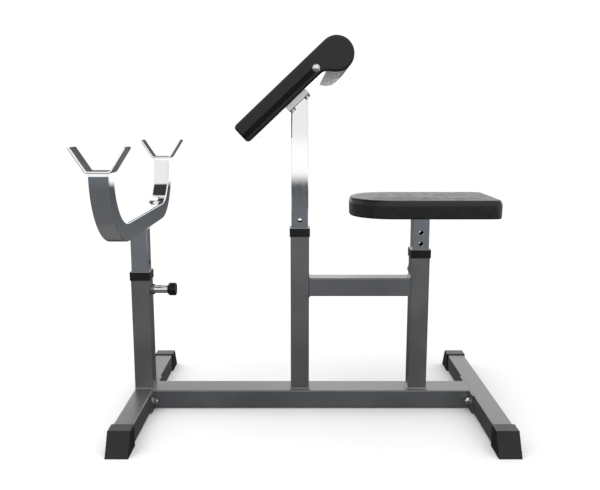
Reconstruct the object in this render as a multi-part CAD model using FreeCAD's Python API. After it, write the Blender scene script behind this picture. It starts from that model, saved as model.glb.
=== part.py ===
import FreeCAD
import Part
import math
import os

from FreeCAD import Placement, Rotation, Vector

# Preacher curl bench: a bolted steel base with three uprights, in which a bar rest, an arm pad
# and a seat slide up and down on drilled posts that spring pull pins lock.
# Millimetres, +Z up, +X from the bar rest towards the seat. The origin is on the floor below the
# middle of the outline, and the person on the seat faces -X, with the left hand at -Y.

# Square frame tube, and the thin plastic lining that a post slides in
tube = 50.0
tube_wall = 1.5
tube_corner = 3.0
lining = 0.9
slide_clearance = 0.1
weld_leg = 4.0

# Chrome post tube, sized to slide in the lining
post_wall = 2.0
post_corner = 3.0
post_floor_gap = 42.0

# Layout along the bench, from centre to centre
front_span = 431.5
seat_span = 324.5
rear_span = 171.5

# Cross feet and the plastic caps on their ends
foot_length = 592.0
cap_wall = 3.0
cap_socket = 32.5
cap_end_wall = 6.4
cap_toe = 33.0
cap_edge = 1.5

# Base beam and the plates on its ends
beam_width = 75.0
beam_wall = 2.0
plate_width = 150.0
plate_thickness = 5.0

# Bolts through the plates and the feet
frame_bolt = 10.0
frame_bolt_spacing = 102.0
frame_bolt_tail = 3.0
bolt_clearance = 0.4

# Uprights, the brace between two of them, and their collars
pad_upright_height = 446.5
seat_upright_height = 388.5
brace_drop = 75.0
collar_wall = 2.3
collar_skirt = 20.0
collar_flange = 2.5
collar_lining = 33.0

# Rows of holes in the posts
hole = 12.0
hole_edge = 8.0
bar_pitch = 38.0
pad_pitch = 30.0
seat_pitch = 30.0
bar_above_count = 2
bar_below_count = 4
pad_above_count = 3
pad_below_count = 3
seat_above_count = 4
seat_below_count = 3

# Spring pull pins, measured outwards from the upright's face
front_pin_drop = 49.0
pad_pin_drop = 66.5
seat_pin_drop = 71.5
pin_clearance = 0.1
pin_bite = 7.0
pin_nose = 2.0
boss_diameter = 29.0
boss_length = 9.0
neck_diameter = 18.0
barrel_diameter = 22.5
barrel_length = 37.2
barrel_wall = 3.0
barrel_edge = 1.0
stem_diameter = 8.0
shoulder_length = 3.0
spring_wire = 1.4
spring_gap = 0.35
spring_turn_count = 5
spring_flat_count = 8
knob_gap = 0.3
knob_diameter = 35.0
knob_length = 21.6
knob_grip = 15.0
knob_taper = 4.0
knob_edge = 2.5
knob_flute = 7.0
knob_flute_depth = 1.2
knob_flute_count = 10

# Bar rest: a bent tube on the post, with a bent strip on each arm
bar_rest_lift = 119.0
fork_span = 694.0
fork_bend = 143.5
fork_height = 172.5
fork_bead = 5.0
fork_bead_sink = 0.4
cradle_width = 50.0
cradle_thickness = 5.0
cradle_edge = 1.8
cradle_flat = 44.2
cradle_bend = 8.0
cradle_height = 56.5
cradle_lean = 33.0

# Arm pad: slope in degrees, lengths measured along the slope and square to it
pad_slope = 43.0
pad_post_lift = 331.8
pad_plate_length = 71.0
pad_plate_width = 90.0
pad_plate_thickness = 8.0
pad_plate_shift = -1.0
pad_bolt_length_spacing = 50.0
pad_bolt_width_spacing = 66.0
pad_width = 600.0
pad_length = 314.0
pad_low_reach = 149.5
pad_thickness = 46.5
pad_roll_radius = 39.5
pad_throat = 28.0
pad_top_corner = 9.0
pad_low_corner = 8.0
pad_end_round = 5.0
pad_crown = 2.0
pad_rim = 14.0
stud_diameter = 18.5
stud_height = 6.0
stud_shank = 5.0
stud_shank_length = 18.0
stud_low = 15.5
stud_reach = 54.0
trim_width = 12.0
trim_thickness = 1.0

# Seat
seat_post_lift = 95.0
seat_plate_size = 100.0
seat_plate_thickness = 4.0
seat_bolt_spacing = 70.0
seat_length = 384.0
seat_width = 242.0
seat_thickness = 46.0
seat_front_corner = 105.0
seat_rear_corner = 26.0
seat_least_corner = 6.0
seat_shoulder = 13.0
seat_tuck = 3.0
seat_tuck_height = 4.0
seat_crown = 2.0
seat_crown_reach = 60.0
seat_rim = 14.0

# Upholstery boards and their fasteners
board_thickness = 12.0
board_plate_edge = 1.6
pad_bolt = 8.0
tee_nut_flange = 20.0
tee_nut_flange_thickness = 1.5
tee_nut_sleeve = 10.5

# Proportions of fasteners, rounded tubes and soft edges
bore_corner_share = 0.5
hex_across_share = 1.6
hex_face_share = 0.95
hex_chamfer_share = 0.58
head_height_share = 0.64
nut_height_share = 0.8
bolt_tip_share = 0.1
dome_across_share = 2.3
dome_height_share = 0.52
washer_across_share = 2.0
washer_height_share = 0.2
seat_tuck_share = 0.5
quarter_round_shares = ((0.0, 1.0), (0.13, 0.5), (0.5, 0.13), (1.0, 0.0))
seat_shoulder_shares = ((1.0, 0.0), (0.3, 0.25), (0.1, 0.38), (0.0, 0.62))

# Sizes that follow from the ones above
bore = tube - 2 * tube_wall
post = bore - 2 * lining - 2 * slide_clearance
pin_diameter = hole - 2 * pin_clearance
cap_width = tube + 2 * cap_wall
cap_height = tube + 2 * cap_wall
foot_bottom = cap_wall
foot_top = foot_bottom + tube
foot_middle = foot_bottom + tube / 2
collar_width = tube + 2 * collar_wall
bar_travel = (bar_above_count + bar_below_count) * bar_pitch

# Heights of the uprights' tops and of the pull pins
front_pin_z = foot_top + post_floor_gap + hole_edge + bar_travel
front_top = front_pin_z + front_pin_drop
pad_top = foot_top + pad_upright_height
pad_pin_z = pad_top - pad_pin_drop
seat_top = foot_top + seat_upright_height
seat_pin_z = seat_top - seat_pin_drop
brace_bottom = seat_top - brace_drop - tube

# The cradle's bent strip, measured on its middle line
cradle_turn = math.radians(90 - cradle_lean)
cradle_rise = cradle_height - cradle_thickness / 2 * (1 + math.cos(cradle_turn))
cradle_side = (cradle_rise - cradle_bend * (1 - math.cos(cradle_turn))) / math.sin(cradle_turn)
cradle_reach = (cradle_flat / 2 + (cradle_bend + cradle_thickness / 2) * math.sin(cradle_turn)
                + cradle_side * math.cos(cradle_turn))

# Places along X, with the middle of the outline at zero
left_reach = front_span + cradle_reach
head_reach = tube / 2 + frame_bolt * dome_height_share
right_reach = seat_span + rear_span + max(cap_width / 2, head_reach)
pad_x = (left_reach - right_reach) / 2
front_x = pad_x - front_span
seat_x = pad_x + seat_span
rear_x = seat_x + rear_span

X = Vector(1, 0, 0)
Y = Vector(0, 1, 0)
Z = Vector(0, 0, 1)
ORIGIN = Vector(0, 0, 0)
ALONG_X = Rotation(Y, 90)
ALONG_MINUS_X = Rotation(Y, -90)
ALONG_Y = Rotation(X, -90)
UPRIGHT = Rotation()


def moved(shape, position, rotation=UPRIGHT):
    """A copy of a shape, turned and then moved."""
    copy = shape.copy()
    copy.Placement = Placement(position, rotation).multiply(copy.Placement)
    return copy


def mirrored(shape):
    """The same piece on the other side of the bench."""
    return shape.mirror(ORIGIN, Y)


def joined(shapes):
    """One solid made of pieces that touch or overlap."""
    return shapes[0].multiFuse(shapes[1:]).removeSplitter()


def group(shapes):
    """Separate solids kept together in one node."""
    return Part.makeCompound(shapes)


def block(width, depth, height, position):
    """Box centred on its position in X and Y, standing on it in Z."""
    corner = position - Vector(width / 2, depth / 2, 0)
    return Part.makeBox(width, depth, height, corner)


def rod(diameter, length, position=ORIGIN, axis=Z):
    return Part.makeCylinder(diameter / 2, length, position, axis)


def arc(middle, radius, start, end, lift):
    """Arc of a circle between two angles, on points that lift() puts in space."""
    angles = (start, (start + end) / 2, end)
    points = [lift(middle[0] + radius * math.cos(angle), middle[1] + radius * math.sin(angle))
              for angle in angles]
    return Part.Arc(*points).toShape()


def line(start, end, lift):
    return Part.LineSegment(lift(*start), lift(*end)).toShape()


def rounded_wire(width, depth, corner, height=0.0):
    """Rectangle with round corners, centred in the plane at one height."""
    def lift(across, along):
        return Vector(across, along, height)

    wide = width / 2 - corner
    deep = depth / 2 - corner
    edges = []
    for quarter, (side_x, side_y) in enumerate(((1, 1), (-1, 1), (-1, -1), (1, -1))):
        start = quarter * math.pi / 2
        middle = (side_x * wide, side_y * deep)
        edges.append(arc(middle, corner, start, start + math.pi / 2, lift))
        last = edges[-1].lastVertex().Point
        next_side = ((-1, 1), (-1, -1), (1, -1), (1, 1))[quarter]
        reach = corner if quarter % 2 == 0 else 0.0
        side = corner - reach
        following = lift(next_side[0] * (wide + side), next_side[1] * (deep + reach))
        edges.append(Part.LineSegment(last, following).toShape())
    return Part.Wire(edges)


def prism(width, depth, corner, length):
    """Bar with a rounded rectangular section, standing on the origin."""
    return Part.Face(rounded_wire(width, depth, corner)).extrude(Vector(0, 0, length))


def tube_bar(width, depth, wall, corner, length):
    """Rectangular tube standing on the origin."""
    inside = prism(width - 2 * wall, depth - 2 * wall, corner * bore_corner_share, length)
    return prism(width, depth, corner, length).cut(inside)


def weld_bead(width, depth, spread_x, spread_y):
    """Fillet of weld round the foot of a tube, as a solid skirt for the tube to fuse with."""
    low = rounded_wire(width + 2 * spread_x, depth + 2 * spread_y, tube_corner)
    high = rounded_wire(width, depth, tube_corner, weld_leg)
    skirt = Part.makeLoft([low, high], True, True)
    return skirt.cut(prism(width, depth, tube_corner, weld_leg))


def hexagon(across, height):
    """Six-sided prism standing on the origin, with its lower corners chamfered."""
    radius = across / math.sqrt(3)
    corners = [Vector(radius * math.cos(k * math.pi / 3), radius * math.sin(k * math.pi / 3), 0)
               for k in range(7)]
    shape = Part.Face(Part.makePolygon(corners)).extrude(Vector(0, 0, height))
    face = across / 2 * hex_face_share
    return shape.common(Part.makeCone(face, face + height / hex_chamfer_share, height))


def nut(diameter):
    """Hexagon nut standing on the origin, chamfered at both ends."""
    height = diameter * nut_height_share
    shape = hexagon(diameter * hex_across_share, height)
    shape = shape.common(moved(shape, Vector(0, 0, height), Rotation(X, 180)))
    return shape.cut(rod(diameter, height))


def shank(diameter, length):
    """Shank of a bolt standing on the origin, with a chamfered tip."""
    tip = diameter * bolt_tip_share
    start = Vector(0, 0, length - tip)
    return joined([rod(diameter, length - tip),
                   Part.makeCone(diameter / 2, diameter / 2 - tip, tip, start)])


def bolt(diameter, length):
    """Hexagon bolt along Z, with the underside of its head at zero and its shank upwards."""
    head_height = diameter * head_height_share
    head = moved(hexagon(diameter * hex_across_share, head_height), Vector(0, 0, -head_height))
    return joined([head, shank(diameter, length)])


def dome(diameter, height):
    """Cap of a ball, standing on the origin with its flat side down."""
    radius = (diameter ** 2 / 4 + height ** 2) / (2 * height)
    ball = Part.makeSphere(radius, Vector(0, 0, height - radius))
    return ball.common(block(2 * diameter, 2 * diameter, 2 * height, ORIGIN))


def carriage_bolt(diameter, length):
    """Bolt along Z with a round head below zero and its shank upwards."""
    head = dome(diameter * dome_across_share, diameter * dome_height_share)
    return joined([moved(head, ORIGIN, Rotation(X, 180)), shank(diameter, length)])


def ring(outside, inside, height):
    return rod(outside, height).cut(rod(inside, height))


def washer(diameter):
    return ring(diameter * washer_across_share, diameter + 2 * bolt_clearance,
                diameter * washer_height_share)


def drilled_post(length, below, pitch, count, direction):
    """Post tube hanging down from the origin, with holes right through it.

    below is how far the lowest hole is above the post's lower end.
    """
    shape = moved(tube_bar(post, post, post_wall, post_corner, length), Vector(0, 0, -length))
    for k in range(count):
        middle = Vector(0, 0, below + k * pitch - length)
        shape = shape.cut(rod(hole, 2 * post, middle - direction * post, direction))
    return shape


def cross_foot():
    """Square tube across the bench, drilled for the two bolts of the beam's end plate."""
    shape = moved(tube_bar(tube, tube, tube_wall, tube_corner, foot_length),
                  Vector(0, -foot_length / 2, foot_middle), ALONG_Y)
    for side in (-1, 1):
        start = Vector(-tube, side * frame_bolt_spacing / 2, foot_middle)
        shape = shape.cut(rod(frame_bolt + 2 * bolt_clearance, 2 * tube, start, X))
    return shape


def foot_cap():
    """Plastic cap on the end of a foot: a socket with a toe that slopes out to the floor."""
    mouth = foot_length / 2 - cap_socket
    top_end = foot_length / 2 + cap_end_wall
    outline = [Vector(-cap_width / 2, along, height) for along, height in (
        (mouth, 0), (top_end + cap_toe, 0), (top_end, cap_height), (mouth, cap_height),
        (mouth, 0))]
    shape = Part.Face(Part.makePolygon(outline)).extrude(Vector(cap_width, 0, 0))
    upper = [edge for edge in shape.Edges
             if edge.BoundBox.ZMax > cap_edge and edge.BoundBox.YMax > mouth + cap_edge]
    shape = shape.makeFillet(cap_edge, upper)
    socket = moved(prism(tube, tube, tube_corner, foot_length),
                   Vector(0, -foot_length / 2, foot_middle), ALONG_Y)
    return shape.cut(socket)


def end_plate():
    """Flat plate welded on the end of the beam, drilled for two bolts; it stands on X = 0."""
    shape = moved(block(plate_thickness, plate_width, tube, ORIGIN),
                  Vector(plate_thickness / 2, 0, foot_bottom))
    for side in (-1, 1):
        start = Vector(-plate_thickness, side * frame_bolt_spacing / 2, foot_middle)
        shape = shape.cut(rod(frame_bolt + 2 * bolt_clearance, 3 * plate_thickness, start, X))
    return shape


def frame_fasteners():
    """Carriage bolts through the feet, with washers and nuts on the beam's end plates."""
    bolts = []
    washers = []
    nuts = []
    washer_height = frame_bolt * washer_height_share
    nut_height = frame_bolt * nut_height_share
    grip = plate_thickness + tube
    screw = carriage_bolt(frame_bolt, grip + washer_height + nut_height + frame_bolt_tail)
    disc = washer(frame_bolt)
    fastener = nut(frame_bolt)
    for foot_x, way, turn in ((front_x, 1, ALONG_X), (rear_x, -1, ALONG_MINUS_X)):
        for side in (-1, 1):
            head = Vector(foot_x - way * tube / 2, side * frame_bolt_spacing / 2, foot_middle)
            bolts.append(moved(screw, head, turn))
            washers.append(moved(disc, head + X * way * grip, turn))
            nuts.append(moved(fastener, head + X * way * (grip + washer_height), turn))
    return {"frame_bolts": group(bolts), "frame_washers": group(washers),
            "frame_nuts": group(nuts)}


def upright(height, pin_drop, direction, bead_x):
    """Square upright standing on the origin, with its weld bead and the hole for the pull pin."""
    outer = prism(tube, tube, tube_corner, height)
    skirt = weld_bead(tube, tube, bead_x, weld_leg)
    inside = prism(bore, bore, tube_corner * bore_corner_share, height)
    shape = joined([outer, skirt]).cut(inside)
    middle = Vector(0, 0, height - pin_drop)
    return shape.cut(rod(neck_diameter, tube, middle, direction))


def collar():
    """Plastic sleeve on an upright's top, which is at zero: a skirt outside, a lining inside."""
    bore_corner = tube_corner * bore_corner_share
    cover = prism(collar_width, collar_width, tube_corner, collar_skirt + collar_flange)
    cover = moved(cover, Vector(0, 0, -collar_skirt))
    wall = prism(tube, tube, tube_corner, collar_skirt)
    cover = cover.cut(moved(wall, Vector(0, 0, -collar_skirt)))
    liner = moved(prism(bore, bore, bore_corner, collar_lining), Vector(0, 0, -collar_lining))
    shape = joined([cover, liner])
    opening = post + 2 * slide_clearance
    way = prism(opening, opening, post_corner, collar_lining + 2 * collar_flange)
    return shape.cut(moved(way, Vector(0, 0, -collar_lining)))


def cross_brace():
    """Square tube between the pad upright and the seat upright, with beads above and below."""
    length = seat_span - tube
    outer = prism(tube, tube, tube_corner, length)
    bead = weld_bead(tube, tube, weld_leg, 0.0)
    far_bead = moved(bead, Vector(0, 0, length), Rotation(Y, 180))
    inside = prism(tube - 2 * tube_wall, tube - 2 * tube_wall,
                   tube_corner * bore_corner_share, length)
    shape = joined([outer, bead, far_bead]).cut(inside)
    return moved(shape, Vector(pad_x + tube / 2, 0, brace_bottom + tube / 2), ALONG_X)


def pin_spring(outside, start, end):
    """Coil spring of square wire along Z between two heights, in flats round each turn."""
    steps = spring_turn_count * spring_flat_count
    rise = (end - start - spring_wire) / steps
    sections = []
    for k in range(steps + 1):
        angle = 2 * math.pi * k / spring_flat_count
        out = Vector(math.cos(angle), math.sin(angle), 0)
        low = start + k * rise
        corners = [out * radius + Z * height for radius, height in (
            (outside / 2 - spring_wire, low), (outside / 2, low),
            (outside / 2, low + spring_wire), (outside / 2 - spring_wire, low + spring_wire))]
        sections.append(Part.makePolygon(corners + corners[:1]))
    return Part.makeLoft(sections, True, True)


def pull_pin():
    """Spring pull pin along Z, with the upright's face at zero: fixed and sliding pieces."""
    chamber = barrel_diameter - 2 * barrel_wall
    barrel_end = boss_length + barrel_length
    chamber_end = barrel_end - barrel_wall
    shoulder = chamber - 2 * spring_gap
    shoulder_start = boss_length + knob_gap
    shoulder_end = shoulder_start + shoulder_length
    post_face = -(tube - post) / 2
    guide = pin_diameter + 2 * pin_clearance
    stem_bore = stem_diameter + 2 * pin_clearance

    boss = ring(boss_diameter, neck_diameter, boss_length)

    body = rod(barrel_diameter, barrel_length, Vector(0, 0, boss_length))
    body = body.makeChamfer(barrel_edge, [edge for edge in body.Edges
                                          if edge.BoundBox.ZMin > chamber_end])
    neck = rod(neck_diameter, boss_length + tube_wall, Vector(0, 0, -tube_wall))
    barrel = joined([body, neck])
    barrel = barrel.cut(rod(guide, boss_length + tube_wall, Vector(0, 0, -tube_wall)))
    barrel = barrel.cut(rod(chamber, chamber_end - boss_length, Vector(0, 0, boss_length)))
    barrel = barrel.cut(rod(stem_bore, barrel_wall, Vector(0, 0, chamber_end)))

    tip = post_face - pin_bite
    nose = rod(pin_diameter, shoulder_start - tip, Vector(0, 0, tip))
    nose = nose.makeChamfer(pin_nose, [edge for edge in nose.Edges
                                       if edge.BoundBox.ZMax < tip + pin_nose])
    disc = rod(shoulder, shoulder_length, Vector(0, 0, shoulder_start))
    knob_start = barrel_end + knob_gap
    stem = rod(stem_diameter, knob_start + knob_grip - shoulder_end, Vector(0, 0, shoulder_end))
    pin = joined([nose, disc, stem])

    coil = pin_spring(shoulder, shoulder_end, chamber_end)

    def lift(across, height):
        return Vector(across, 0, height)

    knob_end = knob_start + knob_length
    radius = knob_diameter / 2
    outline = [line((0, knob_start), (radius - knob_taper, knob_start), lift),
               line((radius - knob_taper, knob_start), (radius, knob_start + knob_taper), lift),
               line((radius, knob_start + knob_taper), (radius, knob_end - knob_edge), lift),
               arc((radius - knob_edge, knob_end - knob_edge), knob_edge, 0, math.pi / 2, lift),
               line((radius - knob_edge, knob_end), (0, knob_end), lift),
               line((0, knob_end), (0, knob_start), lift)]
    knob = Part.Face(Part.Wire(outline)).revolve(ORIGIN, Z, 360)
    flute_radius = radius + knob_flute / 2 - knob_flute_depth
    for k in range(knob_flute_count):
        angle = k * 2 * math.pi / knob_flute_count
        place = Vector(flute_radius * math.cos(angle), flute_radius * math.sin(angle), knob_start)
        knob = knob.cut(rod(knob_flute, knob_length - 2 * knob_edge, place))
    knob = knob.cut(rod(stem_diameter, knob_grip, Vector(0, 0, knob_start)))
    return {"pin_boss": boss, "pin_barrel": barrel, "pull_pin": pin, "pin_spring": coil,
            "pin_knob": knob}


def bent_bar(width, corner):
    """Square bar bent to a U across the bench, with the post's underside at zero."""
    face = Part.Face(rounded_wire(width, width, corner))
    middle = post / 2
    straight = fork_span / 2 - fork_bend
    flat = moved(face, Vector(0, -straight, middle), ALONG_Y).extrude(Y * 2 * straight)
    end = moved(face, Vector(0, straight, middle), ALONG_Y)
    bend = end.revolve(Vector(0, straight, middle + fork_bend), X, 90)
    arm = moved(face, Vector(0, fork_span / 2, middle + fork_bend)).extrude(Z * fork_height)
    return joined([flat, bend, arm, mirrored(bend), mirrored(arm)])


def bar_fork():
    """Tube bent to a U, its bottom at zero, with level ends and the post's two weld beads."""
    shape = bent_bar(post, post_corner)
    shape = shape.cut(bent_bar(post - 2 * post_wall, post_corner * bore_corner_share))
    above = block(2 * post, 2 * fork_span, fork_bend + fork_height, Vector(0, 0, fork_height))
    length = post - 2 * post_corner
    bead = rod(fork_bead, length, Vector(post / 2 - fork_bead_sink, -length / 2, fork_bead_sink), Y)
    bead = bead.cut(block(post, post, fork_bead, Vector(0, 0, -fork_bead)))
    return joined([shape.cut(above), bead, bead.mirror(ORIGIN, X)])


def bar_cradle():
    """Flat strip with rounded edges, bent to an open V for the bar, lying on the origin."""
    def lift(across, height):
        return Vector(across, -cradle_width / 2, height + cradle_thickness / 2)

    half = cradle_thickness / 2
    flat = cradle_flat / 2
    down = -math.pi / 2
    lip = down + cradle_turn
    outside = cradle_bend + half
    inside = cradle_bend - half

    def bend_end(radius):
        return (flat + radius * math.cos(lip), cradle_bend + radius * math.sin(lip))

    def tip(radius):
        start = bend_end(radius)
        return (start[0] + cradle_side * math.cos(cradle_turn),
                start[1] + cradle_side * math.sin(cradle_turn))

    middle = (flat, cradle_bend)
    half_edges = [line((0, -half), (flat, -half), lift), arc(middle, outside, down, lip, lift),
                  line(bend_end(outside), tip(outside), lift), line(tip(outside), tip(inside), lift),
                  line(tip(inside), bend_end(inside), lift), arc(middle, inside, lip, down, lift),
                  line((flat, half), (0, half), lift), line((0, half), (0, -half), lift)]
    side = Part.Face(Part.Wire(half_edges)).extrude(Vector(0, cradle_width, 0))
    strip = joined([side, side.mirror(ORIGIN, X)])
    rims = [edge for edge in strip.Edges
            if edge.BoundBox.YLength < cradle_edge and edge.Length > 2 * cradle_thickness]
    return strip.makeFillet(cradle_edge, rims)


def board_bolts(length_spacing, width_spacing, plate):
    """Bolts, washers, tee nuts and the nuts' sockets, for a board on a plate from zero up."""
    bolts = []
    washers = []
    nuts = []
    sockets = []
    washer_height = pad_bolt * washer_height_share
    screw = bolt(pad_bolt, washer_height + plate + board_thickness)
    disc = washer(pad_bolt)
    sleeve = rod(tee_nut_sleeve, board_thickness)
    flange = rod(tee_nut_flange, tee_nut_flange_thickness, Vector(0, 0, board_thickness))
    socket = joined([sleeve, flange])
    tee_nut = socket.cut(rod(pad_bolt, board_thickness + tee_nut_flange_thickness))
    for along in (-1, 1):
        for across in (-1, 1):
            place = Vector(along * length_spacing / 2, across * width_spacing / 2, 0)
            bolts.append(moved(screw, place - Z * washer_height))
            washers.append(moved(disc, place - Z * washer_height))
            nuts.append(moved(tee_nut, place + Z * plate))
            sockets.append(moved(socket, place + Z * plate))
    return group(bolts), group(washers), group(nuts), group(sockets)


def bolted_plate(length, width, thickness, length_spacing, width_spacing):
    """Plate lying on the origin, drilled for four bolts, with rounded lower edges."""
    shape = block(length, width, thickness, ORIGIN)
    lower = [edge for edge in shape.Edges if edge.BoundBox.ZMax < thickness / 2]
    shape = shape.makeFillet(board_plate_edge, lower)
    for along in (-1, 1):
        for across in (-1, 1):
            place = Vector(along * length_spacing / 2, across * width_spacing / 2, 0)
            shape = shape.cut(rod(pad_bolt + 2 * bolt_clearance, thickness, place))
    return shape


def pad_section(across, inset, crown):
    """Outline of the arm pad at one place across its width, underside at zero.

    inset draws the whole outline in, crown swells the top.
    """
    def lift(along, height):
        return Vector(along, across, height)

    low = inset - pad_low_reach
    top = pad_thickness - inset + crown
    roll = pad_roll_radius - inset + crown
    throat = pad_throat + inset
    roll_middle = (pad_length - pad_low_reach - pad_roll_radius, pad_thickness - pad_roll_radius)
    drop = roll_middle[1] - inset + throat
    run = math.sqrt((roll + throat) ** 2 - drop ** 2)
    throat_middle = (roll_middle[0] - run, inset - throat)
    pinch = math.atan2(drop, run)
    turn = math.pi + pinch + math.pi / 2
    upper = math.pi / 2
    edges = [line((low + pad_top_corner, top), (roll_middle[0], top), lift)]
    for k in range(3):
        start = upper - k * (2 * math.pi - turn + math.pi) / 3
        end = upper - (k + 1) * (2 * math.pi - turn + math.pi) / 3
        edges.append(arc(roll_middle, roll, start, end, lift))
    edges.append(arc(throat_middle, throat, pinch, math.pi / 2, lift))
    corner = low + pad_low_corner
    edges.append(line((throat_middle[0], inset), (corner, inset), lift))
    edges.append(arc((corner, inset + pad_low_corner), pad_low_corner,
                     -math.pi / 2, -math.pi, lift))
    edges.append(line((low, inset + pad_low_corner), (low, top - pad_top_corner), lift))
    edges.append(arc((low + pad_top_corner, top - pad_top_corner), pad_top_corner,
                     math.pi, math.pi / 2, lift))
    return Part.Wire(edges)


def pad_cushion_and_board():
    """Upholstered arm pad and the board let into its underside, in the slope's own frame."""
    half = pad_width / 2
    ends = [(half - depth * pad_end_round, draw * pad_end_round, 0.0)
            for depth, draw in quarter_round_shares]
    rows = [(-across, inset, crown) for across, inset, crown in ends]
    rows.append((0.0, 0.0, pad_crown))
    rows.extend(reversed(ends))
    body = Part.makeLoft([pad_section(*row) for row in rows], True, True)

    run_end = pad_length - pad_low_reach - 2 * pad_roll_radius - pad_throat
    low = pad_rim - pad_low_reach
    high = run_end - pad_rim / 2
    board = block(high - low, pad_width - 2 * pad_end_round - 2 * pad_rim,
                  board_thickness, Vector((high + low) / 2, 0, 0))
    return body, board


def pad_stud():
    """Chrome dome button along Z: its flat underside at zero, its shank below."""
    shank = rod(stud_shank, stud_shank_length, Vector(0, 0, -stud_shank_length))
    return joined([dome(stud_diameter, stud_height), shank])


def pad_trim(stud_along):
    """Thin strip round the pad's low end and along both sides, up to the studs at X = 0.

    It stands on the origin, and its ends are round below the studs.
    """
    length = 2 * (stud_along + pad_low_reach)
    outside = prism(length + 2 * trim_thickness, pad_width + 2 * trim_thickness,
                    pad_end_round + trim_thickness, trim_width)
    band = outside.cut(prism(length, pad_width, pad_end_round, trim_width))
    beyond = block(length, 2 * pad_width, trim_width, Vector(length / 2, 0, 0))
    ends = [rod(trim_width, trim_thickness, Vector(0, side * pad_width / 2, trim_width / 2), Y * side)
            for side in (-1, 1)]
    return joined([band.cut(beyond)] + ends)


def arm_pad():
    """Post, plate, board, cushion, trim and fasteners of the arm pad."""
    slope = Rotation(Y, -pad_slope)
    seat = Vector(pad_x, 0, pad_top + pad_post_lift)
    row_end = pad_pin_z - pad_below_count * pad_pitch
    over = tube
    length = seat.z + over - (row_end - hole_edge)
    post_shape = drilled_post(length, hole_edge, pad_pitch, pad_above_count + pad_below_count + 1, Y)
    post_shape = moved(post_shape, seat + Z * over)
    above = block(4 * post, 4 * post, 4 * post, ORIGIN)
    post_shape = post_shape.cut(moved(above, seat, slope))

    shift = Vector(pad_plate_shift, 0, 0)
    plate = moved(bolted_plate(pad_plate_length, pad_plate_width, pad_plate_thickness,
                               pad_bolt_length_spacing, pad_bolt_width_spacing), shift)
    bolts, washers, nuts, sockets = [moved(shape, shift) for shape in board_bolts(
        pad_bolt_length_spacing, pad_bolt_width_spacing, pad_plate_thickness)]
    rest = Vector(0, 0, pad_plate_thickness)
    cushion, board = [moved(shape, rest) for shape in pad_cushion_and_board()]
    stud_along = pad_length - pad_low_reach - pad_roll_radius - stud_reach
    stud_height = pad_plate_thickness + stud_low
    stud_place = Vector(stud_along, pad_width / 2 + trim_thickness, stud_height)
    stud = moved(pad_stud(), stud_place, ALONG_Y)
    studs = [stud, mirrored(stud)]
    trim = moved(pad_trim(stud_along), Vector(stud_along, 0, stud_height - trim_width / 2))
    trim = trim.cut(studs)
    cushion = cushion.cut([board, sockets] + studs)
    board = board.cut(sockets)
    pieces = {"pad_plate": plate, "pad_bolts": bolts, "pad_washers": washers,
              "pad_tee_nuts": nuts, "pad_board": board, "pad_cushion": cushion,
              "pad_trim": trim, "pad_studs": group(studs)}
    placed = {name: moved(shape, seat, slope) for name, shape in pieces.items()}
    placed["pad_post"] = post_shape
    return placed


def seat_outline(height, inset):
    """Plan of the seat at one height: a rounded front and a nearly square rear."""
    def lift(along, across):
        return Vector(along, across, height)

    long = seat_length / 2 - inset
    wide = seat_width / 2 - inset
    front = max(seat_front_corner - inset, seat_least_corner)
    rear = max(seat_rear_corner - inset, seat_least_corner)
    edges = [line((long, -wide + rear), (long, wide - rear), lift),
             arc((long - rear, wide - rear), rear, 0, math.pi / 2, lift),
             line((long - rear, wide), (front - long, wide), lift),
             arc((front - long, wide - front), front, math.pi / 2, math.pi, lift),
             line((-long, wide - front), (-long, front - wide), lift),
             arc((front - long, front - wide), front, math.pi, 3 * math.pi / 2, lift),
             line((front - long, -wide), (long - rear, -wide), lift),
             arc((long - rear, rear - wide), rear, -math.pi / 2, 0, lift)]
    return Part.Wire(edges)


def seat():
    """Post, plate, board, cushion and fasteners of the seat."""
    under = seat_top + seat_post_lift
    row_end = seat_pin_z - seat_below_count * seat_pitch
    length = under - (row_end - hole_edge)
    count = seat_above_count + seat_below_count + 1
    post_shape = moved(drilled_post(length, hole_edge, seat_pitch, count, Y),
                       Vector(seat_x, 0, under))

    plate = bolted_plate(seat_plate_size, seat_plate_size, seat_plate_thickness,
                         seat_bolt_spacing, seat_bolt_spacing)
    bolts, washers, nuts, sockets = board_bolts(seat_bolt_spacing, seat_bolt_spacing,
                                                seat_plate_thickness)

    levels = [(0.0, seat_tuck), (seat_tuck_height, seat_tuck * seat_tuck_share)]
    for drop, draw in seat_shoulder_shares:
        levels.append((seat_thickness - drop * seat_shoulder, draw * seat_shoulder))
    levels.append((seat_thickness + seat_crown, seat_shoulder + seat_crown_reach))
    body = Part.makeLoft([seat_outline(height, inset) for height, inset in levels], True, True)
    body = moved(body, Vector(0, 0, seat_plate_thickness))
    rim = seat_rim + seat_tuck
    inner = Part.Face(seat_outline(seat_plate_thickness, rim))
    board = inner.extrude(Vector(0, 0, board_thickness))
    body = body.cut([board, sockets])
    board = board.cut(sockets)
    place = Vector(seat_x, 0, under)
    pieces = {"seat_plate": plate, "seat_bolts": bolts, "seat_washers": washers,
              "seat_tee_nuts": nuts, "seat_board": board, "seat_cushion": body}
    placed = {name: moved(shape, place) for name, shape in pieces.items()}
    placed["seat_post"] = post_shape
    return placed


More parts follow.
